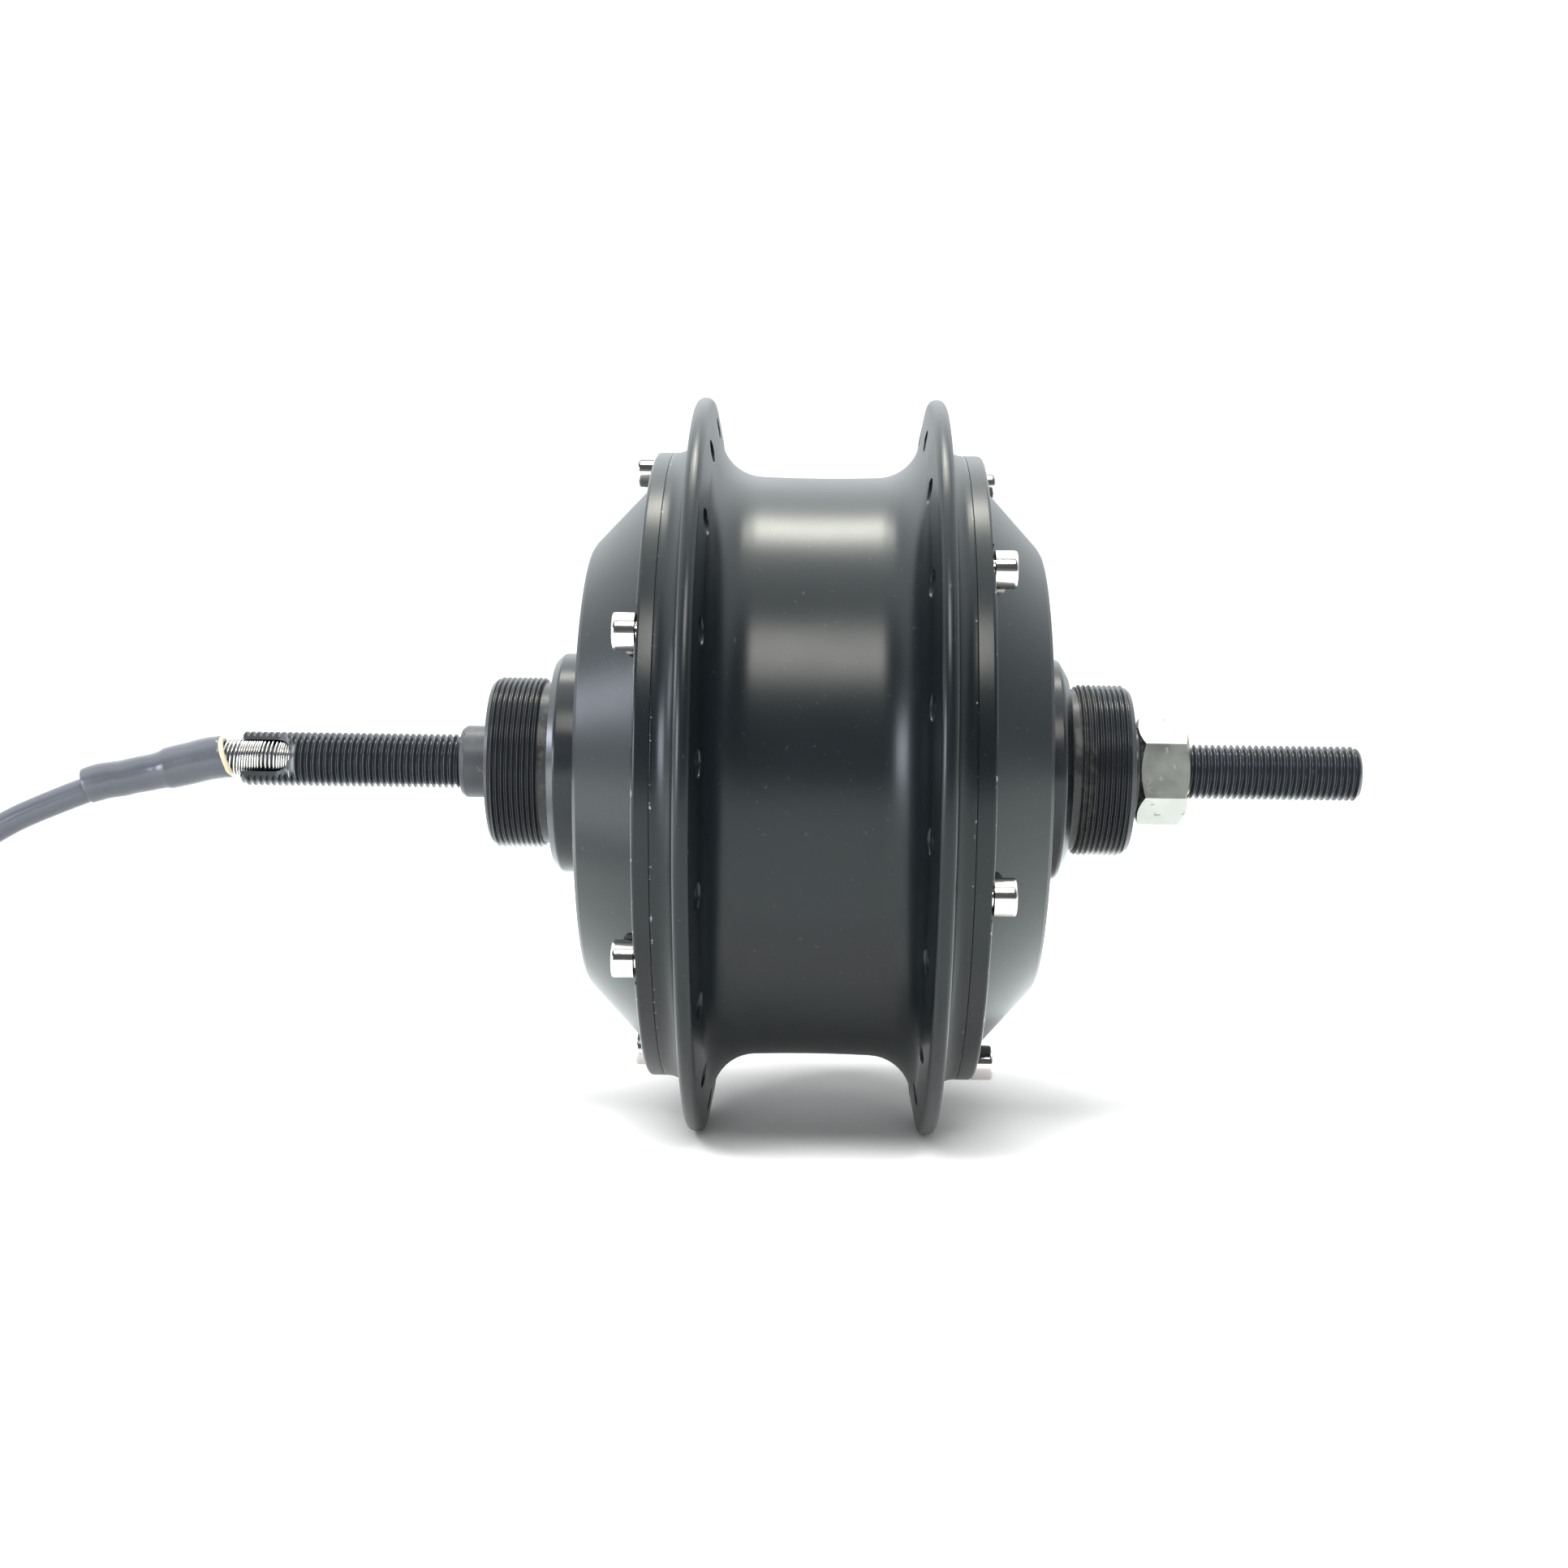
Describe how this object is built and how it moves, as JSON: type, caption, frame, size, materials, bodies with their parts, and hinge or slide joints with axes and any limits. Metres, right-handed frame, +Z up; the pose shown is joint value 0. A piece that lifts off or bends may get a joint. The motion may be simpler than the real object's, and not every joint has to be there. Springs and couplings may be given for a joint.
{
  "type": "geared hub motor",
  "caption": "Geared hub motor for a spoked bicycle wheel: two-flange shell, threaded axle and bosses, planetary gears inside, cable out of the axle.",
  "frame": {"origin": "centre of the hub, on the axle's axis, midway between the two spoke flanges", "axes": "+Y along the axle towards the end where the cable leaves, +Z up, the hub standing on its two flanges, +X to the side"},
  "size_m": [0.1484, 0.386, 0.1484],
  "materials": {
    "shell_paint": "satin black paint on cast aluminium",
    "nickel": "bright nickel plate",
    "rubber_seal": "matte black rubber",
    "bearing_steel": "ground bearing steel",
    "black_steel": "glossy black oxide",
    "zinc_nut": "dull zinc plate",
    "bright_steel": "ground steel",
    "laminations": "stacked sheet steel",
    "copper": "enamelled copper wire",
    "cast_aluminium": "cast aluminium",
    "circuit_board": "green solder mask",
    "lead_insulation": "silicone insulation",
    "rotor_steel": "turned steel",
    "magnet": "nickel plated magnet",
    "gear_steel": "hardened steel",
    "gear_nylon": "natural nylon",
    "cable_sheath": "satin grey-blue sheath",
    "spring_steel": "bright spring wire",
    "sleeve": "satin grey heat-shrink",
    "glue": "amber hot-melt glue",
    "tie": "black nylon tie",
    "connector_plastic": "black moulded plastic",
    "gold_pins": "gold-plated pins"
  },
  "bodies": {
    "axle_group": {"axle": "black_steel", "axle_cable": "cable_sheath", "axle_nut": "zinc_nut", "axle_spacer": "black_steel", "axle_washer": "black_steel", "cable_coil": "cable_sheath", "cable_lead": "cable_sheath", "cable_tail": "cable_sheath", "cable_tie": "tie", "clutch_inner_ring": "bearing_steel", "clutch_key": "bright_steel", "clutch_outer_ring": "bearing_steel", "clutch_rollers": "bearing_steel", "connector_body": "connector_plastic", "connector_pins": "gold_pins", "connector_socket": "connector_plastic", "heat_shrink_sleeve": "sleeve", "left_bearing_inner_race": "bearing_steel", "motor_leads": "lead_insulation", "planet_carrier": "cast_aluminium", "planet_inner_races": "bearing_steel", "planet_pin_clips": "bright_steel", "planet_pins": "bright_steel", "right_bearing_inner_race": "bearing_steel", "rotor_bearing_inner_races": "bearing_steel", "rotor_stop_ring": "bright_steel", "sensor_board": "circuit_board", "sleeve_glue_ring": "glue", "spring_guard": "spring_steel", "stator_core": "laminations", "stator_hub": "cast_aluminium", "stator_key": "bright_steel", "stator_windings": "copper"},
    "hub": {"hub_shell": "shell_paint", "left_cover": "shell_paint", "right_cover": "shell_paint", "left_boss": "black_steel", "right_boss": "black_steel", "left_cover_screws": "nickel", "right_cover_screws": "nickel", "left_cover_oring": "rubber_seal", "right_cover_oring": "rubber_seal", "left_oil_seal": "rubber_seal", "right_oil_seal": "rubber_seal", "left_bearing_outer_race": "bearing_steel", "right_bearing_outer_race": "bearing_steel", "ring_gear": "gear_steel", "ring_gear_dowels": "bright_steel"},
    "rotor": {"rotor_bell": "rotor_steel", "rotor_magnets": "magnet", "rotor_bearing_outer_races": "bearing_steel", "sun_gear": "gear_steel", "sun_gear_screws": "bright_steel"},
    "planet_1": {"planet_gear_1": "gear_nylon", "planet_bearing_1": "bearing_steel"},
    "planet_2": {"planet_gear_2": "gear_nylon", "planet_bearing_2": "bearing_steel"},
    "planet_3": {"planet_gear_3": "gear_nylon", "planet_bearing_3": "bearing_steel"}
  },
  "joints": [
    {"name": "hub_spin", "type": "hinge", "parent": "axle_group", "child": "hub", "pos_m": [0, 0, 0], "axis": [0, 1, 0], "continuous": true},
    {"name": "rotor_spin", "type": "hinge", "parent": "axle_group", "child": "rotor", "pos_m": [0, 0, 0], "axis": [0, 1, 0], "continuous": true},
    {"name": "planet_1_spin", "type": "hinge", "parent": "axle_group", "child": "planet_1", "pos_m": [0.0285, -0.013, 0], "axis": [0, 1, 0], "continuous": true},
    {"name": "planet_2_spin", "type": "hinge", "parent": "axle_group", "child": "planet_2", "pos_m": [-0.01425, -0.013, 0.02468], "axis": [0, 1, 0], "continuous": true},
    {"name": "planet_3_spin", "type": "hinge", "parent": "axle_group", "child": "planet_3", "pos_m": [-0.01425, -0.013, -0.02468], "axis": [0, 1, 0], "continuous": true}
  ],
  "couplings": [
    {"joint": "rotor_spin", "follows": "hub_spin", "ratio": -4.4286},
    {"joint": "planet_1_spin", "follows": "hub_spin", "ratio": 2.5833},
    {"joint": "planet_2_spin", "follows": "hub_spin", "ratio": 2.5833},
    {"joint": "planet_3_spin", "follows": "hub_spin", "ratio": 2.5833}
  ]
}
